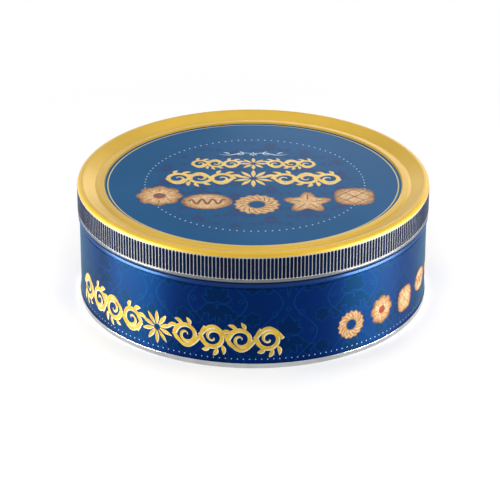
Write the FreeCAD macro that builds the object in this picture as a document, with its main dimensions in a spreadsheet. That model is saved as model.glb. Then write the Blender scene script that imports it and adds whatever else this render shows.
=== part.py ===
"""Round pressed tin with a lift-off lid, built from three pieces of thin tinplate.

Body wall: a strip rolled round, locked in a folded side seam at the back, beaded and necked for the
lid, curled over at the mouth. Base plate: a recessed disc, double-seamed to the wall. Lid: one
drawn piece with a stepped panel, a raised rim, a straight skirt and a rolled curl.

Every piece is a sheet bent along a path and swept round the tin's axis, so each one is a sketch of
its cut section, revolved. The origin is the centre of the foot ring, +Z up, -Y the front.
"""
import FreeCAD
import Part
import Sketcher
import math
import os

SIZES = [
    ("sheet", 0.23, "thickness of the tinplate"),
    ("skirt_radius", 95.0, "outside of the lid's skirt"),
    ("wall_radius", 94.05, "outside of the body wall"),
    ("neck_radius", 92.9, "outside of the wall where the lid slides over it"),
    ("panel_height", 62.55, "top of the lid's recessed panel"),
    ("panel_radius", 79.9, "foot of the step round the panel"),
    ("step_radius", 80.75, "brow of the step round the panel"),
    ("step_height", 63.65, "brow of the step"),
    ("groove_radius", 85.2, "groove between the step and the raised rim"),
    ("groove_height", 63.0, "bottom of the groove"),
    ("rim_rise", 4.45, "rise of the rim's slope from the groove to the skirt line"),
    ("rim_bend", 2.8, "rounding of the rim's crest"),
    ("curl_bottom", 49.15, "lowest point of the closed lid"),
    ("curl_radius", 0.95, "outer radius of the two rolled curls"),
    ("mouth_height", 64.8, "top of the body wall"),
    ("bead_top", 49.62, "where the neck turns out to the stop bead"),
    ("bead_height", 48.27, "crest of the stop bead"),
    ("bead_radius", 94.85, "corner of the stop bead, before rounding"),
    ("bead_bottom", 46.0, "where the stop bead runs back to the wall"),
    ("base_height", 3.2, "underside of the base plate's edge"),
    ("rise_radius", 84.0, "outer foot of the ring step in the base plate"),
    ("rise_width", 0.9, "width of that step"),
    ("rise_height", 0.7, "height of that step"),
    ("seam_height", 2.6, "height of the double seam at the foot"),
    ("seam_gap", 0.02, "clearance between two layers of the double seam"),
    ("hook_length", 1.7, "length of the two hooks inside the double seam"),
    ("lock_width", 3.6, "width of the side seam"),
    ("lock_foot", 4.2, "lower end of the side seam's ridge"),
    ("lock_head", 62.4, "upper end of the side seam's ridge"),
]


def fill_sheet(doc):
    """Write every driving size to the document's spreadsheet, one aliased cell each."""
    sheet = doc.addObject("Spreadsheet::Sheet", "Sizes")
    for row, (alias, value, meaning) in enumerate(SIZES, start=1):
        sheet.set("A%d" % row, alias)
        sheet.set("B%d" % row, str(value))
        sheet.set("C%d" % row, meaning)
        sheet.setAlias("B%d" % row, alias)
    doc.recompute()
    return sheet


def origin_feature(body, role):
    """Find one of the body's own origin planes or axes."""
    return next(f for f in body.Origin.OriginFeatures if f.Role == role)


def new_sketch(body, name, plane_role):
    """Start a sketch on one of the body's upright planes: X is the radius, Y the height."""
    sketch = body.newObject("Sketcher::SketchObject", name)
    sketch.AttachmentSupport = [(origin_feature(body, plane_role), "")]
    sketch.MapMode = "FlatFace"
    return sketch


class SheetSection:
    """The cut section of one bent sheet, drawn in a sketch and fully constrained.

    The path is the sheet's outer side: corners of radius, height and bend, all expressions.
    A corner with no bend is a sharp fold. The material lies to the right of the path, or to the
    left where material_left is set, and a curl at the end rolls to that side, three quarters round.
    """

    def __init__(self, sketch, corners, thickness, material_left=False, curl=None):
        self.sketch = sketch
        self.corners = corners
        self.thickness = thickness
        self.lean = 1 if material_left else -1
        self.curl = curl
        self.rules = []
        self.expressions = []
        self.points = [FreeCAD.Vector(self.value(r), self.value(z), 0) for r, z, bend in corners]
        self.bends = [self.value(bend) if bend else 0 for r, z, bend in corners]
        if curl:
            self.bends[-1] = self.value(curl)
        self.marks = [self.place_corner(index) for index in range(len(corners))]

    def value(self, expression):
        return float(self.sketch.evalExpression(expression))

    def rule(self, *parts, expression=None):
        """Add one constraint; its value follows the expression where one is given."""
        if expression:
            parts = parts + (self.value(expression),)
            self.expressions.append((len(self.rules), expression))
        self.rules.append(Sketcher.Constraint(*parts))

    def place_corner(self, index):
        """A construction point at each corner of the path, tied to the sheet's sizes."""
        radius, height, bend = self.corners[index]
        point = self.sketch.addGeometry(Part.Point(self.points[index]), True)
        if self.points[index].x == 0:
            self.rule("PointOnObject", point, 1, -2)
        else:
            self.rule("DistanceX", -1, 1, point, 1, expression=radius)
        if self.points[index].y == 0:
            self.rule("PointOnObject", point, 1, -1)
        else:
            self.rule("DistanceY", -1, 1, point, 1, expression=height)
        return point

    def direction(self, index):
        run = self.points[index + 1] - self.points[index]
        return run.normalize()

    def left(self, index):
        run = self.direction(index)
        return FreeCAD.Vector(-run.y, run.x, 0)

    def turn(self, index):
        """Sign of the turn at a corner: +1 to the left, -1 to the right."""
        return math.copysign(1, self.direction(index - 1).cross(self.direction(index)).z)

    def line(self, start, end):
        return self.sketch.addGeometry(Part.LineSegment(start, end), False)

    def arc(self, centre, radius, enter, leave, turn):
        """An arc that the path enters and leaves; arcs are stored anticlockwise."""
        first, last = (enter, leave) if turn > 0 else (leave, enter)
        circle = Part.Circle(centre, FreeCAD.Vector(0, 0, 1), radius)
        start = math.atan2(first.y - centre.y, first.x - centre.x)
        end = math.atan2(last.y - centre.y, last.x - centre.x)
        return self.sketch.addGeometry(Part.ArcOfCircle(circle, start, end), False)

    def side(self, offset):
        """Runs and bends of one side of the sheet; offset is 0 for the outer side."""
        shift = self.lean * offset
        runs = []
        bends = {}
        start = self.points[0] + self.left(0) * shift
        for index in range(1, len(self.points) - 1):
            before, after = self.left(index - 1), self.left(index)
            turn = self.turn(index)
            bend = self.bends[index]
            half_angle = before.getAngle(after) / 2
            reach = self.direction(index - 1) * (bend * math.tan(half_angle))
            centre = self.points[index] - reach + before * (turn * bend)
            if bend:
                radius = bend - turn * shift
                enter, leave = centre - before * (turn * radius), centre - after * (turn * radius)
                bends[index] = self.arc(centre, radius, enter, leave, turn)
            else:
                enter = leave = centre + (before + after).normalize() * (shift / math.cos(half_angle))
            runs.append(self.line(start, enter))
            start = leave
        runs.append(self.line(start, self.points[-1] + self.left(len(runs)) * shift))
        for index in range(1, len(runs)):
            if index in bends:
                first, last = (1, 2) if self.turn(index) > 0 else (2, 1)
                self.rule("Tangent", runs[index - 1], 2, bends[index], first)
                self.rule("Tangent", bends[index], last, runs[index], 1)
            else:
                self.rule("Coincident", runs[index - 1], 2, runs[index], 1)
        return runs, bends

    def tie_outer(self, runs, bends):
        """Pin the outer side to the corners of the path and to their bends."""
        for index, run in enumerate(runs):
            for mark, end in ((index, 1), (index + 1, 2)):
                if mark in bends:
                    self.rule("PointOnObject", self.marks[mark], 1, run)
                elif end == 2 or index == 0:
                    self.rule("Coincident", self.marks[mark], 1, run, end)
        for index, bend in bends.items():
            self.rule("Radius", bend, expression=self.corners[index][2])

    def tie_inner(self, runs, bends, inner_runs, inner_bends):
        """Hold the inner side one thickness from the outer side, all along."""
        for index, bend in bends.items():
            sign = "-" if self.turn(index) * self.lean > 0 else "+"
            radius = "%s %s %s" % (self.corners[index][2], sign, self.thickness)
            self.rule("Coincident", bend, 3, inner_bends[index], 3)
            self.rule("Radius", inner_bends[index], expression=radius)
        for index, (run, inner) in enumerate(zip(runs, inner_runs)):
            rounded_ends = [bend for bend in self.bends[index:index + 2] if bend]
            if len(rounded_ends) < 2:
                self.rule("Parallel", run, inner)
            if not rounded_ends:
                self.rule("Distance", inner, 1, run, expression=self.thickness)

    def close_end(self, run, inner, end, square=True):
        """The cut edge of the sheet, square across it."""
        geometry = self.sketch.Geometry
        points = [g.StartPoint if end == 1 else g.EndPoint for g in (geometry[run], geometry[inner])]
        cap = self.line(*points)
        self.rule("Coincident", run, end, cap, 1)
        self.rule("Coincident", inner, end, cap, 2)
        if square:
            self.rule("Perpendicular", run, cap)
        return cap

    def roll_curl(self, run, inner_run):
        """Two arcs about one centre, from the end of the sheet three quarters of the way round."""
        radius = self.value(self.curl)
        across = self.left(len(self.points) - 2) * self.lean
        along = self.direction(len(self.points) - 2)
        centre = self.points[-1] + across * radius
        arcs = [
            self.arc(centre, size, centre - across * size, centre - along * size, self.lean)
            for size in (radius, radius - self.value(self.thickness))
        ]
        enter, leave = (1, 2) if self.lean > 0 else (2, 1)
        self.rule("Tangent", run, 2, arcs[0], enter)
        self.rule("Tangent", inner_run, 2, arcs[1], enter)
        self.rule("Coincident", arcs[0], 3, arcs[1], 3)
        self.rule("Radius", arcs[0], expression=self.curl)
        self.rule("Radius", arcs[1], expression="%s - %s" % (self.curl, self.thickness))
        tail = self.close_end(arcs[0], arcs[1], leave, square=False)
        self.rule("Vertical", tail)
        self.rule("PointOnObject", arcs[0], 3, tail)

    def draw(self):
        runs, bends = self.side(0)
        inner_runs, inner_bends = self.side(self.value(self.thickness))
        self.tie_outer(runs, bends)
        self.tie_inner(runs, bends, inner_runs, inner_bends)
        self.close_end(runs[0], inner_runs[0], 1)
        if self.curl:
            self.roll_curl(runs[-1], inner_runs[-1])
        else:
            self.close_end(runs[-1], inner_runs[-1], 2)
        self.sketch.addConstraint(self.rules)
        for index, expression in self.expressions:
            self.sketch.setExpression("Constraints[%d]" % index, expression)


def sizes(text):
    """Turn bare size names into references to the spreadsheet."""
    names = sorted((alias for alias, value, meaning in SIZES), key=len, reverse=True)
    words = text.split(" ")
    return " ".join("Sizes." + word if word in names else word for word in words)


def corner(radius, height, bend=None):
    return sizes(radius), sizes(height), sizes(bend) if bend else None


def revolve(body, sketch, name):
    """Sweep a section once round the tin's upright axis."""
    turned = body.newObject("PartDesign::Revolution", name)
    turned.Profile = sketch
    turned.ReferenceAxis = (sketch, ["V_Axis"])
    turned.Angle = 360
    sketch.Visibility = False
    return turned


def make_lid(doc):
    """The lid: stepped panel, groove, raised rim, skirt, and a curl rolled inwards."""
    body = doc.addObject("PartDesign::Body", "Lid")
    body.Label = "lid"
    sketch = new_sketch(body, "LidSection", "XZ_Plane")
    SheetSection(sketch, [
        corner("0", "panel_height"),
        corner("panel_radius", "panel_height"),
        corner("step_radius", "step_height"),
        corner("groove_radius", "groove_height"),
        corner("skirt_radius", "groove_height + rim_rise", "rim_bend"),
        corner("skirt_radius", "curl_bottom + curl_radius"),
    ], sizes("sheet"), curl=sizes("curl_radius")).draw()
    revolve(body, sketch, "LidShell")
    return body


def make_body_wall(doc):
    """The body wall: its hook in the foot seam, straight wall, stop bead, neck and mouth curl."""
    body = doc.addObject("PartDesign::Body", "BodyWall")
    body.Label = "body_wall"
    sketch = new_sketch(body, "WallSection", "XZ_Plane")
    hook = "wall_radius + 1 * sheet + 2 * seam_gap"
    foot = "2 * sheet + 1 * seam_gap"
    SheetSection(sketch, [
        corner(hook, foot + " + hook_length"),
        corner(hook, foot),
        corner("wall_radius", foot),
        corner("wall_radius", "bead_bottom"),
        corner("bead_radius", "bead_height", "5 * sheet"),
        corner("neck_radius", "bead_top"),
        corner("neck_radius", "mouth_height - curl_radius"),
    ], sizes("sheet"), material_left=True, curl=sizes("curl_radius")).draw()
    revolve(body, sketch, "WallShell")
    add_side_seam(body)
    return body


def add_side_seam(body):
    """The folded side seam: a ridge four sheets thick that follows the wall up its inside."""
    sketch = new_sketch(body, "SeamSection", "YZ_Plane")
    SheetSection(sketch, [
        corner("neck_radius", "lock_head"),
        corner("neck_radius", "bead_top"),
        corner("bead_radius", "bead_height", "5 * sheet"),
        corner("wall_radius", "bead_bottom"),
        corner("wall_radius", "lock_foot"),
    ], sizes("4 * sheet")).draw()
    ridge = revolve(body, sketch, "SideSeam")
    ridge.Midplane = True
    ridge.setExpression("Angle", sizes("lock_width / wall_radius * 180 / pi"))


def make_base_plate(doc):
    """The base plate: a recessed panel with a ring step, wrapped round the wall's hook."""
    body = doc.addObject("PartDesign::Body", "BasePlate")
    body.Label = "base_plate"
    sketch = new_sketch(body, "BaseSection", "XZ_Plane")
    chuck = "wall_radius - 2 * sheet - 1 * seam_gap"
    outer = "wall_radius + 3 * sheet + 3 * seam_gap"
    cover = "wall_radius + 1 * seam_gap"
    SheetSection(sketch, [
        corner("0", "base_height + rise_height"),
        corner("rise_radius - rise_width", "base_height + rise_height"),
        corner("rise_radius", "base_height"),
        corner(chuck, "base_height"),
        corner(chuck, "0"),
        corner(outer, "0"),
        corner(outer, "seam_height", "1.5 * sheet"),
        corner(cover, "seam_height"),
        corner(cover, "seam_height - hook_length"),
    ], sizes("sheet"), material_left=True).draw()
    revolve(body, sketch, "BaseShell")
    return body


def check(doc, pieces):
    """Stop before anything is written if a feature failed or a piece is not one valid solid."""
    for item in doc.Objects:
        if "Invalid" in item.State or "Error" in item.State:
            raise RuntimeError("%s did not compute" % item.Label)
    for piece in pieces:
        shape = piece.Shape
        if shape.isNull() or not shape.isValid() or len(shape.Solids) != 1:
            raise RuntimeError("%s is not one valid solid" % piece.Label)


def main():
    doc = FreeCAD.newDocument("Tin")
    fill_sheet(doc)
    pieces = [make_lid(doc), make_body_wall(doc), make_base_plate(doc)]
    doc.recompute()
    check(doc, pieces)
    os.makedirs("parts", exist_ok=True)
    for piece in pieces:
        piece.Shape.exportStep("parts/%s.step" % piece.Label)
        print("%-12s %9.1f mm3" % (piece.Label, piece.Shape.Volume))


main()
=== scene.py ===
import math
import bmesh
import bpy
from mathutils import Matrix, Vector


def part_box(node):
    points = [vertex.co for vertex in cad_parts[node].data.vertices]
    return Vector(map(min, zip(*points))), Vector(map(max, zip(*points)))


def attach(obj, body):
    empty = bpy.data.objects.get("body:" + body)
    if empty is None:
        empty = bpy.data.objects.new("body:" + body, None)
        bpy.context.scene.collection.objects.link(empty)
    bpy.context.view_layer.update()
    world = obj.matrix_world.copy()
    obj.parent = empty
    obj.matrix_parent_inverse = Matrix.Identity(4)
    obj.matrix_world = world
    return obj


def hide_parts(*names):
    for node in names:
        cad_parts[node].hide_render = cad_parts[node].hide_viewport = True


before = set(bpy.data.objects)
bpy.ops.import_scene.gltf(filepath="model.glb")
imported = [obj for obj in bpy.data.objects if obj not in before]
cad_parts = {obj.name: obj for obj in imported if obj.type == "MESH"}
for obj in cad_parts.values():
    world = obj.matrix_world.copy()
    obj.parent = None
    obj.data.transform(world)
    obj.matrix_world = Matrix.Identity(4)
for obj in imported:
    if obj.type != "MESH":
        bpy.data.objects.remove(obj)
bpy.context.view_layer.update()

# ---- Lid top ----------------------------------------------------------------------------------
# The lid is drawn from one disc of tinplate: a flat panel, a step up, a shallow groove and a raised
# round rim. Outside it is printed and varnished, the rim gold and the panel blue; inside it is bare.

mm = 0.001
sheet = 0.23 * mm
lid_low, lid_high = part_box("lid")
lid_radius = lid_high.x
panel_height = lid_low.z + 13.4 * mm
panel_radius = lid_radius - 15.1 * mm
step_radius = lid_radius - 14.5 * mm
step_height = lid_low.z + 14.6 * mm
brow_radius = lid_radius - 11.4 * mm
brow_height = lid_low.z + 14.5 * mm
groove_radius = lid_radius - 9.8 * mm
groove_height = lid_low.z + 13.8 * mm
rim_corner_height = lid_low.z + 18.3 * mm
rim_bend = 2.8 * mm
rim_overrun = 2 * mm
gold_edge_height = lid_low.z + 14.75 * mm
gold_edge_turn_in = 0.25 * mm
rib_height = 0.12 * mm
skirt_ground = lid_radius - rib_height
turn_steps = 360


def bent_path(corners):
    """One bent sheet seen edge on: (radius, height, bend) corners, each bend rounded by a bevel."""
    degrees_a_step = 9
    metal = bmesh.new()
    spots = [Vector((radius, 0, height)) for radius, height, bend in corners]
    points = [metal.verts.new(spot) for spot in spots]
    for first, second in zip(points, points[1:]):
        metal.edges.new((first, second))
    for index in range(1, len(corners) - 1):
        bend = corners[index][2]
        if bend:
            turn = (spots[index] - spots[index - 1]).angle(spots[index + 1] - spots[index])
            bmesh.ops.bevel(
                metal, geom=[points[index]], offset=bend * math.tan(turn / 2), offset_type="OFFSET",
                segments=max(2, round(math.degrees(turn) / degrees_a_step)), profile=0.5,
                affect="VERTICES", material=-1)
    hold_flat(metal)
    return metal


def hold_flat(metal):
    """Points near both ends of each long run, so that it looks flat right up to its bends."""
    long_run = 3 * mm
    margin = 0.3 * mm
    for run in [edge for edge in metal.edges if edge.calc_length() > long_run]:
        near, far = run.verts
        middle = bmesh.utils.edge_split(run, near, margin / run.calc_length())[1]
        rest = max(middle.link_edges, key=lambda edge: edge.calc_length())
        bmesh.utils.edge_split(rest, far, margin / rest.calc_length())


def turn_round(metal):
    """Spin an edge-on sheet once round the tin's axis, with its faces outwards."""
    bmesh.ops.spin(
        metal, geom=metal.verts[:] + metal.edges[:], cent=(0, 0, 0), axis=(0, 0, 1),
        angle=math.tau, steps=turn_steps, use_merge=True)
    close_and_face_out(metal)


def close_and_face_out(metal):
    """Merge the pole and the seam, and turn the faces away from the axis."""
    same_spot = 0.0005 * mm
    bmesh.ops.remove_doubles(metal, verts=metal.verts, dist=same_spot)
    bmesh.ops.recalc_face_normals(metal, faces=metal.faces)
    outermost = max(metal.faces, key=lambda face: face.calc_center_median().xy.length)
    if outermost.normal.xy.dot(outermost.calc_center_median().xy) < 0:
        bmesh.ops.reverse_faces(metal, faces=metal.faces)


def finish_piece(name, metal, finishes):
    """Make the mesh an object at the origin, with its finishes in order of their slots."""
    sharp_angle = math.radians(40)
    mesh = bpy.data.meshes.new(name)
    metal.to_mesh(mesh)
    metal.free()
    for finish in finishes:
        mesh.materials.append(finish)
    mesh.shade_smooth()
    mesh.set_sharp_from_angle(angle=sharp_angle)
    piece = bpy.data.objects.new(name, mesh)
    bpy.context.scene.collection.objects.link(piece)
    return piece


def thicken(piece, slots_to_inside, thickness=sheet):
    """Give a sheet its thickness inwards; its inside takes the finish that many slots further on."""
    solid = piece.modifiers.new("sheet thickness", "SOLIDIFY")
    solid.thickness = thickness
    solid.offset = -1
    solid.use_even_offset = True
    solid.material_offset = slots_to_inside


def add_node(tree, kind, inputs=None, **settings):
    """One node, with its settings and its inputs: a socket is linked, anything else is a value."""
    node = tree.nodes.new(kind)
    for setting, value in settings.items():
        setattr(node, setting, value)
    for socket, value in (inputs or {}).items():
        if isinstance(value, bpy.types.NodeSocket):
            tree.links.new(value, node.inputs[socket])
        else:
            node.inputs[socket].default_value = value
    return node


def reckon(tree, operation, *values):
    """A Math node's result."""
    return add_node(tree, "ShaderNodeMath", dict(enumerate(values)), operation=operation).outputs[0]


def blend_colours(tree, share, first, second):
    """From the first colour at 0 to the second at 1."""
    mix = add_node(tree, "ShaderNodeMix", {0: share, 6: first, 7: second}, data_type="RGBA")
    return mix.outputs[2]


def fade(tree, value, start, end, low=0.0, high=1.0):
    """A smooth change from low to high while the value goes from start to end."""
    change = add_node(
        tree, "ShaderNodeMapRange", {"Value": value, 1: start, 2: end, 3: low, 4: high},
        interpolation_type="SMOOTHSTEP")
    return change.outputs[0]


def new_finish(name, **shader_values):
    """A material with its own Principled shader; returns the material, its tree and the shader."""
    finish = bpy.data.materials.new(name)
    finish.use_nodes = True
    tree = finish.node_tree
    shader = tree.nodes["Principled BSDF"]
    for socket, value in shader_values.items():
        shader.inputs[socket.replace("_", " ")].default_value = value
    return finish, tree, shader


def new_group(name, inputs, outputs):
    """An empty node group with float or vector sockets; returns it and its two end nodes."""
    group = bpy.data.node_groups.new(name, "ShaderNodeTree")
    for direction, sockets in (("INPUT", inputs), ("OUTPUT", outputs)):
        for label, kind in sockets.items():
            group.interface.new_socket(label, in_out=direction, socket_type="NodeSocket" + kind)
    start = group.nodes.new("NodeGroupInput")
    end = group.nodes.new("NodeGroupOutput")
    return group, start.outputs, end.inputs


def use_group(tree, group, inputs):
    """A node group set into a material or another group; returns its outputs."""
    return add_node(tree, "ShaderNodeGroup", inputs, node_tree=group).outputs


def piece_place(tree):
    """The spot on the piece, in its own coordinates."""
    return add_node(tree, "ShaderNodeTexCoord").outputs["Object"]


def distance(tree, across, up):
    """How far a spot is from the middle, from its two coordinates."""
    return reckon(tree, "SQRT", reckon(
        tree, "ADD", reckon(tree, "MULTIPLY", across, across), reckon(tree, "MULTIPLY", up, up)))


def coordinates(tree, spot):
    """A spot's X, Y and Z, each on its own."""
    return add_node(tree, "ShaderNodeSeparateXYZ", {"Vector": spot}).outputs


def from_axis(tree, spot):
    """How far a spot is from the upright axis."""
    return distance(tree, *coordinates(tree, spot)[:2])


def share_of_turn(tree, spot):
    """How far round the upright axis a spot is, as a share of a full turn."""
    x, y = coordinates(tree, spot)[:2]
    return reckon(tree, "DIVIDE", reckon(tree, "ARCTAN2", y, x), math.tau)


def clouded(tree, spot, scale, detail, first, second, spread=0.15):
    """Two tones of one colour in soft clouds; a wide spread makes the change between them slower."""
    cloud = add_node(tree, "ShaderNodeTexNoise", {
        "Vector": spot, "Scale": scale, "Detail": detail, "Roughness": 0.5})
    share = fade(tree, cloud.outputs[0], 0.5 - spread, 0.5 + spread)
    return blend_colours(tree, share, (*first, 1), (*second, 1))


def make_handling_marks():
    """Soft smears and fine scratches on handled metal: a change of gloss and a slight ripple."""
    group, given, result = new_group(
        "handling marks", {"Gloss": "Float", "Smears": "Float", "Ripple": "Float"},
        {"Roughness": "Float", "Normal": "Vector"})
    spot = piece_place(group)
    smear = add_node(group, "ShaderNodeTexNoise", {
        "Vector": spot, "Scale": 38.0, "Detail": 4.0, "Roughness": 0.55, "Distortion": 0.6})
    scratch = add_node(group, "ShaderNodeTexNoise", {
        "Vector": spot, "Scale": 900.0, "Detail": 2.0, "Roughness": 0.7})
    mixed = reckon(group, "ADD", smear.outputs[0], reckon(
        group, "MULTIPLY", scratch.outputs[0], 0.35))
    change = reckon(group, "MULTIPLY", reckon(group, "SUBTRACT", mixed, 0.65), given["Smears"])
    group.links.new(reckon(group, "ADD", given["Gloss"], change), result["Roughness"])
    dents = add_node(group, "ShaderNodeTexNoise", {
        "Vector": spot, "Scale": 22.0, "Detail": 1.0, "Roughness": 0.4})
    height = reckon(group, "ADD", dents.outputs[0], reckon(
        group, "MULTIPLY", scratch.outputs[0], 0.02))
    bump = add_node(group, "ShaderNodeBump", {
        "Strength": given["Ripple"], "Distance": 0.2 * mm, "Height": height})
    group.links.new(bump.outputs[0], result["Normal"])
    return group


def wear(tree, shader, gloss, smears, ripple):
    """Give a finish its gloss and its handling marks; returns the marks' outputs."""
    marks = use_group(tree, handling_marks, {"Gloss": gloss, "Smears": smears, "Ripple": ripple})
    tree.links.new(marks["Roughness"], shader.inputs["Roughness"])
    tree.links.new(marks["Normal"], shader.inputs["Normal"])
    return marks


def make_dotted_line():
    """Round printed dots in a ring: how far along the turn and across the line a spot lies."""
    group, given, result = new_group(
        "dotted line",
        {"Turn": "Float", "Count": "Float", "Pitch": "Float", "Across": "Float", "Dot": "Float"},
        {"Ink": "Float"})
    place = reckon(group, "SUBTRACT", reckon(group, "FRACT", reckon(
        group, "MULTIPLY", given["Turn"], given["Count"])), 0.5)
    along = reckon(group, "MULTIPLY", place, given["Pitch"])
    share = reckon(group, "DIVIDE", distance(group, along, given["Across"]), given["Dot"])
    group.links.new(fade(group, share, 1.15, 0.85), result["Ink"])
    return group


def make_leaf():
    """One pointed leaf from its root: how far inside it a spot lies, less than 0 outside."""
    group, given, result = new_group(
        "leaf",
        {"Point": "Vector", "Root": "Vector", "Angle": "Float", "Length": "Float", "Width": "Float"},
        {"Inside": "Float"})
    shifted = add_node(
        group, "ShaderNodeVectorMath", {0: given["Point"], 1: given["Root"]}, operation="SUBTRACT")
    turned = add_node(group, "ShaderNodeVectorRotate", {
        "Vector": shifted.outputs[0], "Angle": reckon(group, "MULTIPLY", given["Angle"], -1.0)},
        rotation_type="Z_AXIS")
    parts = coordinates(group, turned.outputs[0])
    along = reckon(group, "DIVIDE", parts[0], given["Length"])
    half = reckon(group, "MULTIPLY", reckon(
        group, "MULTIPLY", along, reckon(group, "SUBTRACT", 1.0, along)), given["Width"])
    inside = reckon(group, "SUBTRACT", reckon(group, "MULTIPLY", half, 2.0), reckon(
        group, "ABSOLUTE", parts[1]))
    group.links.new(inside, result["Inside"])
    return group


def make_damask():
    """A woven-look repeat in one-unit cells, every other column half a cell lower."""
    group, given, result = new_group(
        "damask", {"Point": "Vector"}, {"Fill": "Float", "Line": "Float"})
    parts = coordinates(group, given["Point"])
    column = reckon(group, "FLOOR", parts[0])
    drop = reckon(group, "MULTIPLY", reckon(group, "MODULO", column, 2.0), 0.5)
    across = reckon(group, "ABSOLUTE", reckon(
        group, "SUBTRACT", reckon(group, "FRACT", parts[0]), 0.5))
    up = reckon(group, "SUBTRACT", reckon(
        group, "FRACT", reckon(group, "ADD", parts[1], drop)), 0.5)
    point = add_node(group, "ShaderNodeCombineXYZ", {0: across, 1: up}).outputs[0]
    palmette = [((0.0, 0.02, 0), angle, length, width) for angle, length, width in (
        (90, 0.30, 0.17), (52, 0.25, 0.13), (14, 0.22, 0.11))]
    spray = [((0.0, -0.04, 0), -28, 0.27, 0.15), ((0.0, -0.08, 0), -62, 0.25, 0.11),
             ((0.0, -0.10, 0), -90, 0.30, 0.05)]
    side_leaf = [((0.22, -0.27, 0), angle, length, 0.10) for angle, length in (
        (-25, 0.14), (25, 0.18), (75, 0.16))]
    flower = [((0.5, middle, 0), angle, 0.12, 0.10)
              for middle in (-0.25, 0.25) for angle in (90, 144, 198, 270)]
    inside = -1.0
    for root, angle, length, width in palmette + spray + side_leaf + flower:
        leaf = use_group(group, leaf_shape, {
            "Point": point, "Root": root, "Angle": math.radians(angle),
            "Length": length, "Width": width})
        inside = reckon(group, "MAXIMUM", inside, leaf["Inside"])
    berries = ((0.19, 0.33, 0.035), (0.0, 0.40, 0.03), (0.34, 0.03, 0.03))
    for middle_across, middle_up, size in berries:
        aside = reckon(group, "SUBTRACT", across, middle_across)
        above = reckon(group, "SUBTRACT", up, middle_up)
        inside = reckon(
            group, "MAXIMUM", inside, reckon(group, "SUBTRACT", size, distance(group, aside, above)))
    group.links.new(fade(group, inside, -0.006, 0.006), result["Fill"])
    outline = fade(group, reckon(group, "ABSOLUTE", inside), 0.013, 0.004)
    wave = reckon(group, "MULTIPLY", reckon(
        group, "COSINE", reckon(group, "MULTIPLY", up, math.tau)), 0.17)
    ogee = reckon(group, "ABSOLUTE", reckon(
        group, "SUBTRACT", across, reckon(group, "ADD", wave, 0.25)))
    group.links.new(
        reckon(group, "MAXIMUM", outline, fade(group, ogee, 0.016, 0.006)), result["Line"])
    return group


handling_marks = make_handling_marks()
dotted_line = make_dotted_line()
leaf_shape = make_leaf()
damask = make_damask()


def make_gold_varnish():
    """Gold lacquer over bright tin, very slightly uneven in its depth."""
    finish, tree, shader = new_finish(
        "gold varnish", Metallic=0.6, Specular_IOR_Level=0.3, Coat_Weight=0.2, Coat_Roughness=0.2)
    gold = clouded(
        tree, piece_place(tree), 30.0, 3.0, (0.55, 0.34, 0.024), (0.60, 0.37, 0.032), 0.2)
    tree.links.new(gold, shader.inputs["Base Color"])
    wear(tree, shader, 0.38, 0.08, 0.2)
    return finish


def make_panel_print():
    """Blue print on the panel: a ring line, a ring of dots, and a faint damask inside the dots."""
    ring_line_radius = 78.4 * mm
    ring_line_half = 0.33 * mm
    dots_radius = 59.2 * mm
    dots_count = 100
    dots_shift = (-0.9 * mm, 2.1 * mm, 0)
    dot_radius = 0.38 * mm
    damask_cell = 19.0 * mm
    leaf_depth = 0.6
    finish, tree, shader = new_finish("panel print", Metallic=0.05, Specular_IOR_Level=0.03)
    spot = piece_place(tree)
    shifted = add_node(tree, "ShaderNodeMapping", {
        "Vector": spot, "Location": dots_shift}).outputs[0]
    dots_across = from_axis(tree, shifted)
    cell = add_node(tree, "ShaderNodeMapping", {
        "Vector": spot, "Scale": (1 / damask_cell, 1 / damask_cell, 1)}).outputs[0]
    weave = use_group(tree, damask, {"Point": cell})
    inside_dots = fade(tree, dots_across, dots_radius - 1 * mm, dots_radius - 6 * mm)
    ink = clouded(tree, spot, 14.0, 2.0, (0.0045, 0.090, 0.238), (0.0060, 0.101, 0.264))
    leaves = reckon(tree, "MULTIPLY", weave["Fill"], leaf_depth)
    ink = blend_colours(
        tree, reckon(tree, "MULTIPLY", inside_dots, leaves), ink, (0.028, 0.045, 0.155, 1))
    ring = fade(tree, reckon(tree, "ABSOLUTE", reckon(
        tree, "SUBTRACT", from_axis(tree, spot), ring_line_radius)),
        ring_line_half * 1.25, ring_line_half * 0.75)
    ink = blend_colours(tree, ring, ink, (0.62, 0.56, 0.30, 1))
    dots = use_group(tree, dotted_line, {
        "Turn": share_of_turn(tree, shifted), "Count": float(dots_count),
        "Pitch": math.tau * dots_radius / dots_count,
        "Across": reckon(tree, "SUBTRACT", dots_across, dots_radius), "Dot": dot_radius})
    ink = blend_colours(tree, dots["Ink"], ink, (0.72, 0.82, 0.88, 1))
    tree.links.new(ink, shader.inputs["Base Color"])
    wear(tree, shader, 0.24, 0.06, 0.12)
    return finish


def make_bare_tin(name, colour, gloss, metallic=1.0):
    """Bare tinplate: bright grey metal with a faint crystal cloud."""
    finish, tree, shader = new_finish(name, Metallic=metallic)
    spot = piece_place(tree)
    crystal = add_node(tree, "ShaderNodeTexVoronoi", {"Vector": spot, "Scale": 160.0})
    cloud = add_node(tree, "ShaderNodeTexNoise", {
        "Vector": spot, "Scale": 45.0, "Detail": 3.0, "Roughness": 0.5})
    tone = reckon(tree, "ADD", reckon(tree, "MULTIPLY", crystal.outputs["Distance"], 0.3), reckon(
        tree, "MULTIPLY", cloud.outputs[0], 0.7))
    dull = [part * 0.86 for part in colour]
    metal = blend_colours(tree, fade(tree, tone, 0.3, 0.7), (*dull, 1), (*colour, 1))
    tree.links.new(metal, shader.inputs["Base Color"])
    wear(tree, shader, gloss, 0.14, 0.2)
    return finish


gold_varnish = make_gold_varnish()
panel_print = make_panel_print()
bare_tin = make_bare_tin("bare tin", (0.62, 0.63, 0.64), 0.34)

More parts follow.
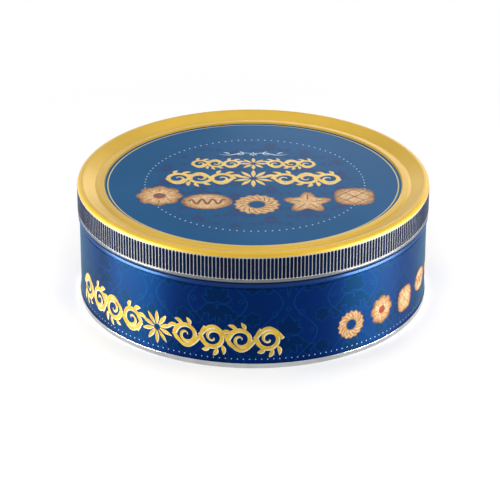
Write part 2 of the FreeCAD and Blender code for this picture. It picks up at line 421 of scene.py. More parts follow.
lid_top_metal = bent_path([
    (0, panel_height, 0),
    (panel_radius, panel_height, 2 * sheet),
    (step_radius, step_height, 2 * sheet),
    (brow_radius, brow_height, 5 * sheet),
    (groove_radius, groove_height, 1.5 * sheet),
    (lid_radius, rim_corner_height, rim_bend),
    (lid_radius, gold_edge_height - rim_overrun, 0),
])
rim_edges = [
    edge for edge in lid_top_metal.edges if edge.verts[0].co.x > lid_radius - rim_overrun]
rim_points = {point for edge in rim_edges for point in edge.verts}
bmesh.ops.bisect_plane(
    lid_top_metal, geom=rim_edges + list(rim_points), plane_co=(0, 0, gold_edge_height),
    plane_no=(0, 0, 1), clear_inner=True)
gold_edge = max(
    (point for point in lid_top_metal.verts if len(point.link_edges) == 1),
    key=lambda point: point.co.x)
fold = bmesh.ops.extrude_vert_indiv(lid_top_metal, verts=[gold_edge])["verts"][0]
fold.co = (skirt_ground, 0, gold_edge_height - gold_edge_turn_in)
turn_round(lid_top_metal)
print_edge_radius = panel_radius + 0.1 * mm
print_edge_height = step_height - 0.7 * mm
for face in lid_top_metal.faces:
    middle = face.calc_center_median()
    on_panel = middle.xy.length < print_edge_radius and middle.z < print_edge_height
    face.material_index = 2 if on_panel else 0
# Slot 0 is the gold and slot 2 the panel; the inside of each is the slot after it.
lid_top = finish_piece("lid_top", lid_top_metal, [gold_varnish, bare_tin, panel_print, bare_tin])
thicken(lid_top, 1)
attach(lid_top, "lid")
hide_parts("lid")

# ---- Lid skirt --------------------------------------------------------------------------------
# The skirt is knurled all round with upright ribs that stiffen it and give a grip. The ribs are
# dark blue with round ends, and the bright tin shows between them. Inside, the skirt is bare.

rib_count = 300
rib_width = 1.58 * mm
rib_root = 0.06 * mm
rib_edge = 0.08 * mm
rib_head_height = gold_edge_height - 0.6 * mm
rib_foot_height = lid_low.z + 2.15 * mm
skirt_head_height = gold_edge_height - 0.1 * mm
skirt_foot_height = lid_low.z + 1.7 * mm


def make_rib():
    """An upright plate with round ends, standing out from the skirt, its outer edge softened."""
    rib = bmesh.new()
    half = rib_width / 2
    end_rounding = 0.96 * half
    corners = ((-half, rib_foot_height), (half, rib_foot_height),
               (half, rib_head_height), (-half, rib_head_height))
    rib.faces.new([rib.verts.new((skirt_ground - rib_root, y, z)) for y, z in corners])
    bmesh.ops.bevel(
        rib, geom=rib.verts[:], offset=end_rounding, offset_type="OFFSET", segments=3,
        profile=0.5, affect="VERTICES", material=-1)
    raised = bmesh.ops.extrude_face_region(rib, geom=rib.faces[:])["geom"]
    crown = [part for part in raised if isinstance(part, bmesh.types.BMVert)]
    bmesh.ops.translate(rib, verts=crown, vec=(rib_root + rib_height, 0, 0))
    brow = [edge for edge in rib.edges if edge.verts[0] in crown and edge.verts[1] in crown]
    bmesh.ops.bevel(
        rib, geom=brow, offset=rib_edge, offset_type="OFFSET", segments=1, profile=0.5,
        affect="EDGES", material=-1)
    bmesh.ops.recalc_face_normals(rib, faces=rib.faces)
    return rib


def make_rib_print():
    """Dark blue print on the ribs."""
    finish, tree, shader = new_finish("rib print", Metallic=0.1, Specular_IOR_Level=0.05)
    shader.inputs["Specular Tint"].default_value = (0.5, 0.8, 1.0, 1)
    ink = clouded(
        tree, piece_place(tree), 60.0, 2.0, (0.0010, 0.003, 0.018), (0.0016, 0.005, 0.028))
    tree.links.new(ink, shader.inputs["Base Color"])
    wear(tree, shader, 0.36, 0.10, 0.1)
    return finish


rib_print = make_rib_print()
ribs_metal = make_rib()
bmesh.ops.spin(
    ribs_metal, geom=ribs_metal.faces[:], cent=(0, 0, 0), axis=(0, 0, 1),
    angle=math.tau * (rib_count - 1) / rib_count, steps=rib_count - 1, use_duplicate=True)
ribs = finish_piece("lid_ribs", ribs_metal, [rib_print])
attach(ribs, "lid")
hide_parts("lid")

skirt_metal = bent_path([
    (skirt_ground, skirt_head_height, 0),
    (skirt_ground, skirt_foot_height, 0),
])
turn_round(skirt_metal)
skirt_tin = make_bare_tin("skirt tin", (0.33, 0.33, 0.31), 0.42, 0.15)
skirt = finish_piece("lid_skirt", skirt_metal, [skirt_tin, bare_tin])
thicken(skirt, 1)
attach(skirt, "lid")
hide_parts("lid")

# ---- Lid curl ---------------------------------------------------------------------------------
# The lid's raw edge is rolled inwards into a bright bead, flush with the ribs, so that it doesn't
# cut and slides easily over the tin's neck.

curl_radius = 0.95 * mm
curl_turn = math.radians(270)
curl_steps = 20
shoulder_height = lid_low.z + 1.95 * mm

lid_curl_metal = bmesh.new()
lid_curl_path = [lid_curl_metal.verts.new((radius, 0, height)) for radius, height in (
    (skirt_ground, shoulder_height),
    (lid_radius, skirt_foot_height),
    (lid_radius, lid_low.z + curl_radius))]
for upper, lower in zip(lid_curl_path, lid_curl_path[1:]):
    lid_curl_metal.edges.new((upper, lower))
bmesh.ops.spin(
    lid_curl_metal, geom=[lid_curl_path[-1]],
    cent=(lid_radius - curl_radius, 0, lid_low.z + curl_radius), axis=(0, 1, 0),
    angle=curl_turn, steps=curl_steps, use_merge=False)
turn_round(lid_curl_metal)
curl_tin = make_bare_tin("curl tin", (0.17, 0.175, 0.18), 0.26)
lid_curl = finish_piece("lid_curl", lid_curl_metal, [curl_tin])
thicken(lid_curl, 0)
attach(lid_curl, "lid")
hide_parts("lid")

# ---- Body wall --------------------------------------------------------------------------------
# The wall is a strip of tinplate rolled round, with a bead near the top where the lid stops. Blue
# print with a damask covers it outside up to the bead; the neck, the mouth and the inside are bare.

wall_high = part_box("body_wall")[1]
wall_radius = lid_radius - 0.95 * mm
neck_radius = lid_radius - 2.1 * mm
wall_foot_height = 0.5 * mm
bead_radius = lid_radius - 0.15 * mm
bead_top = lid_low.z + 0.47 * mm
bead_shoulder = lid_low.z - 0.78 * mm
bead_face = lid_low.z - 2.38 * mm
wall_groove_radius = wall_radius - 0.5 * mm
wall_groove_height = lid_low.z - 3.45 * mm
wall_groove_foot = lid_low.z - 4.25 * mm
print_top = bead_top - 0.5 * mm


def make_wall_print():
    """Blue print on the wall: a damask a little darker than its ground, and dots at the foot."""
    damask_columns = 16
    damask_drop = math.tau * wall_radius / damask_columns
    dots_count = 188
    dots_height = 4.87 * mm
    dot_radius = 0.30 * mm
    leaf_depth = 0.5
    line_depth = 0.6
    finish, tree, shader = new_finish(
        "wall print", Metallic=0.4, Specular_IOR_Level=0.30, Anisotropic=0.8,
        Anisotropic_Rotation=0.25)
    shader.inputs["Specular Tint"].default_value = (0.03, 1.0, 0.95, 1)
    rolled = add_node(tree, "ShaderNodeTangent", direction_type="RADIAL", axis="Z")
    tree.links.new(rolled.outputs[0], shader.inputs["Tangent"])
    spot = piece_place(tree)
    turn = share_of_turn(tree, spot)
    height = coordinates(tree, spot)[2]
    cell = add_node(tree, "ShaderNodeCombineXYZ", {
        0: reckon(tree, "MULTIPLY", turn, float(damask_columns)),
        1: reckon(tree, "DIVIDE", height, damask_drop)}).outputs[0]
    weave = use_group(tree, damask, {"Point": cell})
    ink = clouded(tree, spot, 18.0, 2.0, (0.0003, 0.0014, 0.064), (0.0004, 0.0024, 0.074))
    leaves = reckon(tree, "MULTIPLY", weave["Fill"], leaf_depth)
    ink = blend_colours(tree, leaves, ink, (0.0002, 0.0012, 0.028, 1))
    lines = reckon(tree, "MULTIPLY", weave["Line"], line_depth)
    ink = blend_colours(tree, lines, ink, (0.0012, 0.022, 0.115, 1))
    dots = use_group(tree, dotted_line, {
        "Turn": turn, "Count": float(dots_count), "Pitch": math.tau * wall_radius / dots_count,
        "Across": reckon(tree, "SUBTRACT", height, dots_height), "Dot": dot_radius})
    ink = blend_colours(tree, dots["Ink"], ink, (0.30, 0.41, 0.58, 1))
    tree.links.new(ink, shader.inputs["Base Color"])
    wear(tree, shader, 0.45, 0.10, 0.2)
    return finish


def make_bead_print_with_painted_highlight():
    """The bead's blue, lighter and greener than the wall's: a painted highlight along the bead. It
    also takes a higher gloss, as it is drawn tight.
    """
    finish, tree, shader = new_finish("bead print with painted highlight", Metallic=0.4, Specular_IOR_Level=0.5)
    shader.inputs["Specular Tint"].default_value = (0.35, 0.85, 1.0, 1)
    ink = clouded(
        tree, piece_place(tree), 18.0, 2.0, (0.0008, 0.008, 0.075), (0.0012, 0.012, 0.090))
    tree.links.new(ink, shader.inputs["Base Color"])
    wear(tree, shader, 0.32, 0.10, 0.1)
    return finish


wall_print = make_wall_print()
bead_print_with_painted_highlight = make_bead_print_with_painted_highlight()
bead_corners = [
    (wall_radius, wall_groove_foot, 2 * sheet),
    (wall_groove_radius, wall_groove_height, 1.5 * sheet),
    (bead_radius, bead_face, 2 * sheet),
    (bead_radius - 0.4 * mm, bead_shoulder, 2 * sheet),
    (neck_radius, bead_top, 3 * sheet),
]
wall_metal = bent_path([
    (wall_radius, wall_foot_height, 0), *bead_corners,
    (neck_radius, wall_high.z - curl_radius, 0)])
mouth = max(wall_metal.verts, key=lambda point: point.co.z)
bmesh.ops.spin(
    wall_metal, geom=[mouth], cent=(neck_radius - curl_radius, 0, wall_high.z - curl_radius),
    axis=(0, 1, 0), angle=-curl_turn, steps=curl_steps, use_merge=False)
turn_round(wall_metal)
for face in wall_metal.faces:
    height = face.calc_center_median().z
    if height > print_top:
        face.material_index = 1
    # Between the groove and the top of the print the bead takes the lighter blue, a painted
    # highlight.
    elif height > wall_groove_height:
        face.material_index = 3
# Slot 0 is the print, slot 1 the neck and slot 3 the bead; the inside of each is the slot after it.
wall = finish_piece("wall", wall_metal, [wall_print, bare_tin, bare_tin, bead_print_with_painted_highlight, bare_tin])
thicken(wall, 1)
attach(wall, "can")
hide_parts("body_wall")

# ---- Printed biscuits -------------------------------------------------------------------------
# Five plain biscuits are printed on the lid and round the wall: a flower with jam, a ring, a star,
# a lozenge and an oval. Each is a film of baked brown ink, darker at its rim, with stamped lines.

ink_rise = 0.04 * mm
line_rise = 0.03 * mm
stroke_gap = 1.0
stroke_step = 0.0004 * mm
# How far each outline reaches at an angle, as a share of the biscuit's radius.
biscuit_outlines = {
    "flower": lambda angle: 0.86 + 0.14 * abs(math.cos(4 * angle)),
    "ring": lambda angle: 0.95 + 0.05 * math.cos(16 * angle),
    "star": lambda angle: 0.80 + 0.20 * math.cos(5 * (angle - math.pi / 2)),
    "lozenge": lambda angle: 0.88 * (1 + 0.025 * math.cos(32 * angle)) / (
        abs(math.cos(angle)) ** 3 + abs(math.sin(angle)) ** 3) ** (1 / 3),
    "oval": lambda angle: 1 / math.hypot(math.cos(angle), math.sin(angle) / 0.72),
}


def make_biscuit(kind, radius):
    """A flat disc of rings in the outline of its kind; each point knows how brown it is."""
    rings = 10
    slices = 96
    biscuit = bmesh.new()
    hole = 0.34 if kind == "ring" else 0
    row = [biscuit.verts.new((hole + (1 - hole) * step / rings, 0, 0))
           for step in range(rings + 1)]
    for inner, outer in zip(row, row[1:]):
        biscuit.edges.new((inner, outer))
    bmesh.ops.spin(
        biscuit, geom=row + biscuit.edges[:], cent=(0, 0, 0), axis=(0, 0, 1), angle=math.tau,
        steps=slices, use_merge=True)
    bmesh.ops.remove_doubles(biscuit, verts=biscuit.verts, dist=0.0001)
    browning = biscuit.verts.layers.float.new("browning")
    for point in biscuit.verts:
        share = point.co.length
        point[browning] = share if kind != "ring" else 1 - 3 * min(1 - share, share - hole)
        angle = math.atan2(point.co.y, point.co.x)
        point.co.xy *= radius * (1 + share * (biscuit_outlines[kind](angle) - 1))
        point.co.z = ink_rise
    bmesh.ops.recalc_face_normals(biscuit, faces=biscuit.faces)
    biscuit.faces.ensure_lookup_table()
    if biscuit.faces[0].normal.z < 0:
        bmesh.ops.reverse_faces(biscuit, faces=biscuit.faces)
    return biscuit


def ink_stroke(film, points, width, profile):
    """One brush stroke, drawn well above the last; the profile sets its width along its length."""
    thinnest = 0.02
    level = len(film.splines) * stroke_gap
    line = film.splines.new("NURBS")
    line.points.add(len(points) - 1)
    last = len(points) - 1
    for index, (x, y) in enumerate(points):
        line.points[index].co = (x, y, level, 1)
        line.points[index].radius = max(thinnest, width / 2 * profile(index / last) / mm)
    line.use_endpoint_u = True
    line.order_u = 4
    line.resolution_u = 4


def tapered(share):
    """Full width at the start of a stroke, none at its end."""
    return (1 - share) ** 0.6


def leaf_like(share):
    """Widest half way along a stroke, pointed at both ends."""
    return math.sin(math.pi * share) ** 0.8


def even(share):
    """The same width all along."""
    return 1.0


def new_film(name):
    """An empty film of ink to draw strokes on."""
    film = bpy.data.curves.new(name, "CURVE")
    film.dimensions = "3D"
    film.bevel_depth = mm
    film.bevel_resolution = 1
    film.use_fill_caps = True
    return film


def flat_print(film, rise):
    """Make the strokes one mesh, pressed flat, each stroke a hair above the one before it."""
    holder = bpy.data.objects.new(film.name, film)
    bpy.context.scene.collection.objects.link(holder)
    strokes = bmesh.new()
    pressed = bpy.data.meshes.new_from_object(holder.evaluated_get(
        bpy.context.evaluated_depsgraph_get()))
    strokes.from_mesh(pressed)
    bpy.data.objects.remove(holder)
    bpy.data.meshes.remove(pressed)
    for point in strokes.verts:
        level = round(point.co.z / stroke_gap)
        above = point.co.z > level * stroke_gap
        point.co.z = ink_rise + level * stroke_step + (rise if above else -rise)
    return strokes


def biscuit_lines(kind, radius):
    """The lines stamped into a biscuit, as strokes in its own place."""
    film = new_film("stamp " + kind)
    width = 0.075 * radius

    def ray(angle, start, end, bow=0.0):
        turns = [(start + (end - start) * step / 4, angle + bow * step / 4) for step in range(5)]
        return [(radius * far * math.cos(turn), radius * far * math.sin(turn))
                for far, turn in turns]

    if kind == "flower":
        for petal in range(8):
            ink_stroke(film, ray(math.tau * petal / 8, 0.40, 0.80), width, leaf_like)
    if kind == "ring":
        for twist in range(16):
            ink_stroke(film, ray(math.tau * twist / 16, 0.42, 0.88, 0.5), width, leaf_like)
    if kind == "star":
        for point in range(5):
            ink_stroke(
                film, ray(math.tau * (point / 5 + 0.25), 0.14, 0.82), width * 1.1, leaf_like)
    if kind == "lozenge":
        for row in (-0.5, 0, 0.5):
            for slant in (1, -1):
                reach = 0.62 - abs(row) * 0.35
                ends = [(row * 0.75 + reach * step, row * -0.75 * slant + reach * step * slant)
                        for step in (-1, -0.5, 0, 0.5, 1)]
                ink_stroke(film, [(x * radius, y * radius) for x, y in ends], width, leaf_like)
    if kind == "oval":
        wave = [(radius * (-0.72 + 0.09 * step), radius * 0.30 * math.sin(step * 1.35))
                for step in range(17)]
        ink_stroke(film, wave, width * 1.5, even)
    return flat_print(film, line_rise)


def lay_flat(shape, x, y):
    """Move a printed shape to its place on the lid's panel."""
    bmesh.ops.translate(shape, verts=shape.verts[:], vec=(x, y, panel_height))
    return shape


def bend_round(shape, azimuth, height):
    """Bend a printed shape round the wall: its own X runs round the tin and its Y upwards."""
    for point in shape.verts:
        x, y, rise = point.co
        angle = math.radians(azimuth) + x / wall_radius
        radius = wall_radius + rise
        point.co = (radius * math.cos(angle), radius * math.sin(angle), height + y)
    return shape


def gather(shapes):
    """Join printed shapes into one film."""
    film = bmesh.new()
    for shape in shapes:
        part = bpy.data.meshes.new("part")
        shape.to_mesh(part)
        shape.free()
        film.from_mesh(part)
        bpy.data.meshes.remove(part)
    return film


def make_biscuit_ink(name, depth):
    """Baked brown: pale and crumbly in the middle, toasted at the rim, with a few dark grains. A
    depth under 1 darkens every tone: painted shade.
    """
    finish, tree, shader = new_finish(name, Metallic=0.0, Specular_IOR_Level=0.25)
    pale, brown, dark, grain = [(*(part * depth for part in tone), 1) for tone in (
        (0.93, 0.63, 0.31), (0.58, 0.30, 0.11), (0.20, 0.065, 0.016), (0.20, 0.070, 0.020))]
    spot = piece_place(tree)
    rim = add_node(tree, "ShaderNodeAttribute", attribute_name="browning").outputs["Fac"]
    crumb = add_node(tree, "ShaderNodeTexNoise", {
        "Vector": spot, "Scale": 480.0, "Detail": 4.0, "Roughness": 0.7})
    toast = reckon(tree, "ADD", fade(tree, rim, 0.55, 1.05), reckon(
        tree, "MULTIPLY", reckon(tree, "SUBTRACT", crumb.outputs[0], 0.5), 2.0))
    baked = blend_colours(tree, fade(tree, toast, -0.35, 0.35), pale, brown)
    baked = blend_colours(tree, fade(tree, toast, 0.40, 1.05), baked, dark)
    grains = add_node(tree, "ShaderNodeTexVoronoi", {"Vector": spot, "Scale": 700.0})
    baked = blend_colours(
        tree, fade(tree, grains.outputs["Distance"], 0.26, 0.12, 0.0, 0.75), baked, grain)
    tree.links.new(baked, shader.inputs["Base Color"])
    marks = wear(tree, shader, 0.42, 0.10, 0.2)
    baked_relief = add_node(tree, "ShaderNodeBump", {
        "Strength": 0.6, "Distance": 0.5 * mm, "Height": crumb.outputs[0],
        "Normal": marks["Normal"]})
    tree.links.new(baked_relief.outputs[0], shader.inputs["Normal"])
    return finish


def make_plain_ink(name, light, dark, metallic, gloss):
    """One printed colour, a little uneven as lithographed ink is."""
    finish, tree, shader = new_finish(name, Metallic=metallic, Specular_IOR_Level=0.25)
    ink = clouded(tree, piece_place(tree), 160.0, 3.0, dark, light)
    tree.links.new(ink, shader.inputs["Base Color"])
    wear(tree, shader, gloss, 0.10, 0.15)
    return finish


def print_on(carrier, name, shapes, ink):
    """Lay a film of one ink on the lid or the wall, and let it go where that goes."""
    body, node, slot = carrier
    film = finish_piece(name, gather(shapes), [ink])
    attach(film, body)
    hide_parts(node)


def jam_centre(radius):
    """A spoonful of jam in the middle of a flower biscuit."""
    jam = bmesh.new()
    bmesh.ops.create_circle(jam, cap_ends=True, segments=24, radius=0.27 * radius)
    bmesh.ops.translate(jam, verts=jam.verts[:], vec=(0, 0, ink_rise + line_rise))
    return jam


biscuit_ink = make_biscuit_ink("biscuit ink", 1.0)
# The wall's biscuit ink is the lid's at half its tones: painted shade on the upright wall.
shaded_wall_biscuit_ink = make_biscuit_ink("wall biscuit ink with painted shade", 0.50)
stamp_ink = make_plain_ink("stamp ink", (0.22, 0.080, 0.022), (0.16, 0.055, 0.015), 0.0, 0.42)
jam_ink = make_plain_ink("jam ink", (0.26, 0.045, 0.02), (0.17, 0.022, 0.012), 0.0, 0.3)

on_lid = ("lid", "lid", "lid_tinplate")
on_wall = ("can", "body_wall", "wall_tinplate")

# Kind, place to the right and to the back, and radius.
lid_row = [(kind, x * mm, y * mm, size * mm) for kind, x, y, size in (
    ("flower", -50.0, -18.0, 12.6),
    ("oval", -24.5, -25.0, 13.6),
    ("ring", 2.0, -28.5, 12.6),
    ("star", 29.0, -25.5, 13.2),
    ("lozenge", 54.0, -18.0, 12.2))]
print_on(on_lid, "lid_biscuits", [
    lay_flat(make_biscuit(kind, size), x, y) for kind, x, y, size in lid_row], biscuit_ink)
print_on(on_lid, "lid_biscuit_lines", [
    lay_flat(biscuit_lines(kind, size), x, y) for kind, x, y, size in lid_row], stamp_ink)
print_on(on_lid, "lid_jam", [
    lay_flat(jam_centre(size), x, y)
    for kind, x, y, size in lid_row if kind == "flower"], jam_ink)

# Kind, place round the wall in degrees, height and radius; the row is printed twice.
wall_row = [(kind, azimuth + half_turn, height * mm, size * mm)
            for half_turn in (0, 180) for kind, azimuth, height, size in (
                ("ring", 303.0, 17.5, 8.4),
                ("flower", 316.0, 19.5, 8.4),
                ("lozenge", 329.0, 17.5, 8.2),
                ("oval", 342.0, 19.5, 8.8),
                ("star", 355.0, 17.5, 8.8))]
print_on(on_wall, "wall_biscuits", [
    bend_round(make_biscuit(kind, size), azimuth, height)
    for kind, azimuth, height, size in wall_row], shaded_wall_biscuit_ink)
print_on(on_wall, "wall_biscuit_lines", [
    bend_round(biscuit_lines(kind, size), azimuth, height)
    for kind, azimuth, height, size in wall_row], stamp_ink)
print_on(on_wall, "wall_jam", [
    bend_round(jam_centre(size), azimuth, height)
    for kind, azimuth, height, size in wall_row if kind == "flower"], jam_ink)

# ---- Gold scrollwork --------------------------------------------------------------------------
# A band of leaf scrolls in gold ink fills the middle of the lid and runs round the wall beside the
# biscuits. A stem waves along the band, and each wave sends out a curl with leaves.


def spiral(x, y, radius, start, turns):
    """Points that run in from the rim of a curl to its eye; negative turns go clockwise."""
    steps = max(8, round(abs(turns) * 12))
    points = []
    for step in range(steps + 1):
        share = step / steps
        far = radius * (1 - share) ** 0.75 + radius * 0.06
        angle = start + turns * math.tau * share
        points.append((x + far * math.cos(angle), y + far * math.sin(angle)))
    return points


def leaf_stroke(film, x, y, angle, length, width, bow=0.35):
    """A leaf that grows from a root and bows to one side."""
    steps = 5
    points = []
    for step in range(steps + 1):
        share = step / steps
        turn = angle + bow * (share - 0.5)
        points.append((x + length * share * math.cos(turn), y + length * share * math.sin(turn)))
    ink_stroke(film, points, width, leaf_like)


def rosette(film, radius, petals):
    """A ring of pointed petals round the middle of a film."""
    heart = 0.18 * radius
    for petal in range(petals):
        angle = math.tau * petal / petals + math.pi / 2
        leaf_stroke(
            film, heart * math.cos(angle), heart * math.sin(angle), angle, radius - heart,
            2.2 * radius / petals, 0.0)


def leaf_scroll(film, start, pitch, height, curls, facing):
    """A waving stem with a curl in each wave, alternately above and below, and leaves between."""
    stem_width = 0.115 * height
    curl_size = 0.3698 * height
    leaf_ring = 0.344 * height
    for curl in range(curls):
        side = 1 if curl % 2 == 0 else -1
        offset = -side * 0.02 * height
        root = start + facing * pitch * curl
        middle = root + facing * pitch / 2
        stem = [
            (root + facing * pitch * share, offset - side * 0.38 * height * math.sin(
                math.pi * share))
            for share in (0, 0.15, 0.3, 0.5, 0.7, 0.85, 1)]
        ink_stroke(film, stem, stem_width, even)
        ink_stroke(
            film, spiral(middle, offset, curl_size, math.pi if facing > 0 else 0,
                         -side * facing * 1.45), 1.25 * stem_width, tapered)
        for turn, reach in ((0.9, 0.34), (0.35, 0.30), (-0.35, 0.26)):
            angle = side * math.pi / 2 + turn * facing
            leaf_stroke(
                film, middle + leaf_ring * math.cos(angle), leaf_ring * math.sin(angle),
                angle + side * 0.5 * facing, reach * height, 0.13 * height, 0.5 * side * facing)
        leaf_stroke(
            film, root, offset, -side * math.pi / 2 + facing * side * 0.6, 0.40 * height,
            0.14 * height)


def scroll_band(start, pitch, height, curls, rosette_radius, petals):
    """A whole band: a rosette in the middle and a scroll out to each side."""
    film = new_film("scroll band")
    for facing in (1, -1):
        leaf_scroll(film, facing * start, pitch, height, curls, facing)
    rosette(film, rosette_radius, petals)
    return film


def fine_edging(film, shift):
    """The same strokes in a lower film, moved a little down and aside."""
    edging = flat_print(film, line_rise / 2)
    bmesh.ops.translate(edging, verts=edging.verts[:], vec=(shift, -shift, -line_rise / 2))
    return edging


gold_ink = make_plain_ink("gold ink", (0.84, 0.57, 0.13), (0.74, 0.47, 0.08), 0.35, 0.36)
# The wall's gold is the lid's gold ink at about 0.6 of its tones: painted shade on the upright wall.
shaded_wall_gold_ink = make_plain_ink(
    "wall gold ink with painted shade", (0.52, 0.35, 0.04), (0.40, 0.26, 0.025), 0.35, 0.40)
edging_ink = make_plain_ink("edging ink", (0.55, 0.52, 0.38), (0.46, 0.43, 0.30), 0.0, 0.4)

lid_edging_shift = 0.25 * mm
lid_bands = []
lid_edgings = []
# Place of each band, then its start, pitch, height, curls, rosette radius and petals.
for middle, *band in (
        (5.0 * mm, 11.5 * mm, 11.8 * mm, 18 * mm, 3, 11 * mm, 10),
        (24.5 * mm, 8 * mm, 8.6 * mm, 13 * mm, 3, 7.5 * mm, 8)):
    lid_bands.append(lay_flat(flat_print(scroll_band(*band), line_rise), 0, middle))
    lid_edgings.append(lay_flat(fine_edging(scroll_band(*band), lid_edging_shift), 0, middle))
print_on(on_lid, "lid_scrollwork", lid_bands, gold_ink)
print_on(on_lid, "lid_scroll_edging", lid_edgings, edging_ink)

flourish_place = 37.5 * mm
pale_ink = make_plain_ink("pale ink", (0.62, 0.74, 0.84), (0.50, 0.63, 0.75), 0.0, 0.4)
flourish = new_film("flourish")
for facing in (1, -1):
    sweep = [(facing * 19 * mm * share, 1.6 * mm * math.sin(math.tau * share)) for share in (
        0, 0.12, 0.25, 0.38, 0.5, 0.62, 0.75, 0.88, 1)]
    ink_stroke(flourish, sweep, 0.9 * mm, leaf_like)
    ink_stroke(flourish, spiral(
        facing * 7.5 * mm, 0.6 * mm, 2.4 * mm, math.pi / 2, facing * 1.2), 0.8 * mm, tapered)
    leaf_stroke(flourish, facing * 13 * mm, 0, facing * 0.8 + (0 if facing > 0 else math.pi),
                4.2 * mm, 1.3 * mm, -facing * 0.6)
rosette(flourish, 2.6 * mm, 6)
print_on(on_lid, "lid_flourish", [
    lay_flat(flat_print(flourish, line_rise), 0, flourish_place)], pale_ink)

wall_band = (10 * mm, 14.5 * mm, 17 * mm, 4, 9.5 * mm, 10)
wall_band_height = 16.5 * mm
wall_edging_shift = 0.35 * mm
wall_bands = []
wall_edgings = []
for azimuth in (238, 58):
    wall_bands.append(bend_round(
        flat_print(scroll_band(*wall_band), line_rise), azimuth, wall_band_height))
    wall_edgings.append(bend_round(
        fine_edging(scroll_band(*wall_band), wall_edging_shift), azimuth, wall_band_height))
print_on(on_wall, "wall_scrollwork", wall_bands, shaded_wall_gold_ink)
print_on(on_wall, "wall_scroll_edging", wall_edgings, edging_ink)

# ---- Side seam --------------------------------------------------------------------------------
# The strip's two ends are folded into each other at the back and pressed flat, which leaves a
# narrow ridge up the inside of the wall.

seam_width = 3.6 * mm
seam_foot_height = 4.2 * mm
seam_head_height = wall_high.z - 2.4 * mm
seam_inset = 0.8 * sheet
seam_layers = 3
seam_azimuth = math.radians(90)
seam_angle = seam_width / wall_radius
seam_metal = bent_path([
    (radius - seam_inset, height, bend) for radius, height, bend in (
        (wall_radius, seam_foot_height, 0), *bead_corners, (neck_radius, seam_head_height, 0))])
bmesh.ops.rotate(
    seam_metal, verts=seam_metal.verts[:], cent=(0, 0, 0),
    matrix=Matrix.Rotation(seam_azimuth - seam_angle / 2, 3, "Z"))
bmesh.ops.spin(
    seam_metal, geom=seam_metal.verts[:] + seam_metal.edges[:], cent=(0, 0, 0), axis=(0, 0, 1),
    angle=seam_angle, steps=4)
close_and_face_out(seam_metal)
seam = finish_piece("side_seam", seam_metal, [bare_tin])
thicken(seam, 0, seam_layers * sheet)
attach(seam, "can")
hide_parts("body_wall")

# ---- Base plate -------------------------------------------------------------------------------
# The base is a pressed disc of tinplate with a ring step, set up inside the foot. Its edge is
# folded round the wall's lower edge into a bright hem that the tin stands on.

base_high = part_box("base_plate")[1]
seam_height = 2.6 * mm
outer_radius = base_high.x
seam_gap = 0.02 * mm
chuck_radius = wall_radius - 2 * sheet - seam_gap
cover_radius = wall_radius + seam_gap
cover_hook = 1.2 * mm
base_height = 3.2 * mm
rise_height = 0.7 * mm
rise_radius = lid_radius - 11.9 * mm
rise_foot_radius = lid_radius - 11.0 * mm

base_metal = bent_path([
    (0, base_height + rise_height, 0),
    (rise_radius, base_height + rise_height, 2 * sheet),
    (rise_foot_radius, base_height, 2 * sheet),
    (chuck_radius, base_height, 3 * sheet),
    (chuck_radius, 0, 1.5 * sheet),
    (outer_radius, 0, 1.5 * sheet),
    (outer_radius, seam_height, 1.5 * sheet),
    (cover_radius, seam_height, 1.5 * sheet),
    (cover_radius, seam_height - cover_hook, 0),
])
turn_round(base_metal)
base_tin = make_bare_tin("base tin", (0.50, 0.505, 0.515), 0.2)
base = finish_piece("base", base_metal, [base_tin])
thicken(base, 0)
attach(base, "can")
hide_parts("base_plate")

# ---- Floor, light and camera ------------------------------------------------------------------
# A plain pale floor under soft studio light: a broad lamp overhead, a flat lamp low on each side
# for the sheen on the wall, and two cards of light behind for the lid.

floor_reach = 60.0
floor_drop = 0.05 * mm
plain_floor_radius = 0.20
white_floor_radius = 0.36
gathered_light = 0.64

floor_sheet = bmesh.new()
bmesh.ops.create_grid(floor_sheet, x_segments=1, y_segments=1, size=floor_reach)
bmesh.ops.translate(floor_sheet, verts=floor_sheet.verts[:], vec=(0, 0, -floor_drop))


def add_seen_rays(tree):
    """1 where the camera, a reflection or glass looks, 0 where only light is gathered."""
    rays = add_node(tree, "ShaderNodeLightPath").outputs
    return reckon(tree, "MAXIMUM", rays["Is Camera Ray"], reckon(
        tree, "MAXIMUM", rays["Is Glossy Ray"], rays["Is Transmission Ray"]))


def make_floor_paint():
    """Pale floor paint that passes into the white of the studio well away from the tin."""
    finish, tree, shader = new_finish("floor paint", Roughness=0.9, Specular_IOR_Level=0.1)
    spot = piece_place(tree)
    grain = add_node(tree, "ShaderNodeTexNoise", {"Vector": spot, "Scale": 60.0, "Detail": 2.0})
    paint = blend_colours(
        tree, grain.outputs[0], (0.955, 0.955, 0.955, 1), (0.965, 0.965, 0.965, 1))
    tree.links.new(paint, shader.inputs["Base Color"])
    white = add_node(tree, "ShaderNodeEmission", {"Color": (1, 1, 1, 1), "Strength": 1.0})
    whiter = fade(tree, from_axis(tree, spot), plain_floor_radius, white_floor_radius)
    share = reckon(tree, "MULTIPLY", whiter, add_seen_rays(tree))
    surface = add_node(tree, "ShaderNodeMixShader", {
        0: share, 1: shader.outputs[0], 2: white.outputs[0]})
    tree.links.new(surface.outputs[0], tree.nodes["Material Output"].inputs["Surface"])
    return finish


floor = finish_piece("floor", floor_sheet, [make_floor_paint()])

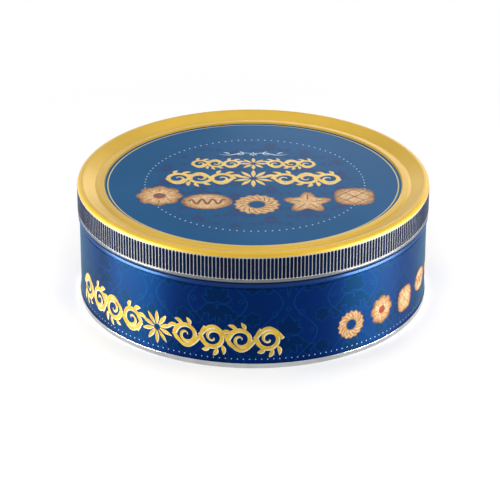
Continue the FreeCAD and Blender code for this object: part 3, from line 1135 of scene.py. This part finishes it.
world = bpy.data.worlds.new("studio")
bpy.context.scene.world = world
world.use_nodes = True
studio_air = world.node_tree
background = studio_air.nodes["Background"]
background.inputs["Color"].default_value = (1.0, 1.0, 1.0, 1)
studio_air.links.new(
    fade(studio_air, add_seen_rays(studio_air), 0.0, 1.0, gathered_light, 1.0),
    background.inputs["Strength"])


def hang_lamp(name, place, aim, width, height, radiance):
    """A soft rectangular lamp facing the aim, of a given brightness to look at."""
    lamp_data = bpy.data.lights.new(name, "AREA")
    lamp_data.shape = "RECTANGLE"
    lamp_data.size = width
    lamp_data.size_y = height
    lamp_data.energy = radiance * math.pi * width * height
    lamp = bpy.data.objects.new(name, lamp_data)
    lamp.location = place
    lamp.rotation_euler = (Vector(aim) - Vector(place)).to_track_quat("-Z", "Y").to_euler()
    lamp.visible_camera = False
    bpy.context.scene.collection.objects.link(lamp)


wall_middle = (0, 0, 0.04)
lid_middle = (0, 0, 0.06)
hang_lamp("overhead lamp", (0, 0.2, 1.4), (0, 0.2, 0), width=1.7, height=1.7, radiance=0.65)
for name, side in (("left lamp", -1), ("right lamp", 1)):
    hang_lamp(name, (side * 0.38, -0.13, 0.045), wall_middle, width=0.26, height=0.07, radiance=44)
hang_lamp("back card", (0.36, 1.1, 0.44), lid_middle, width=0.80, height=0.26, radiance=2.2)
hang_lamp("left card", (-0.34, 1.1, 0.44), lid_middle, width=0.30, height=0.26, radiance=1.2)

camera_place = (0, -1.22936, 0.62262)
look_down, swing, tip, roll = [math.radians(angle) for angle in (
    24.4637, 0.0679, -1.5825, 0.1957)]
camera_data = bpy.data.cameras.new("camera")
camera_data.lens = 180
camera_data.sensor_width = 36
camera = bpy.data.objects.new("camera", camera_data)
bpy.context.scene.collection.objects.link(camera)
camera.location = camera_place
camera_turn = (
    Matrix.Rotation(math.radians(90) - look_down, 4, "X")
    @ Matrix.Rotation(swing, 4, "Y")
    @ Matrix.Rotation(tip, 4, "X")
    @ Matrix.Rotation(roll, 4, "Z"))
camera.rotation_euler = camera_turn.to_euler()
bpy.context.scene.camera = camera

bpy.context.scene.view_settings.view_transform = "Standard"
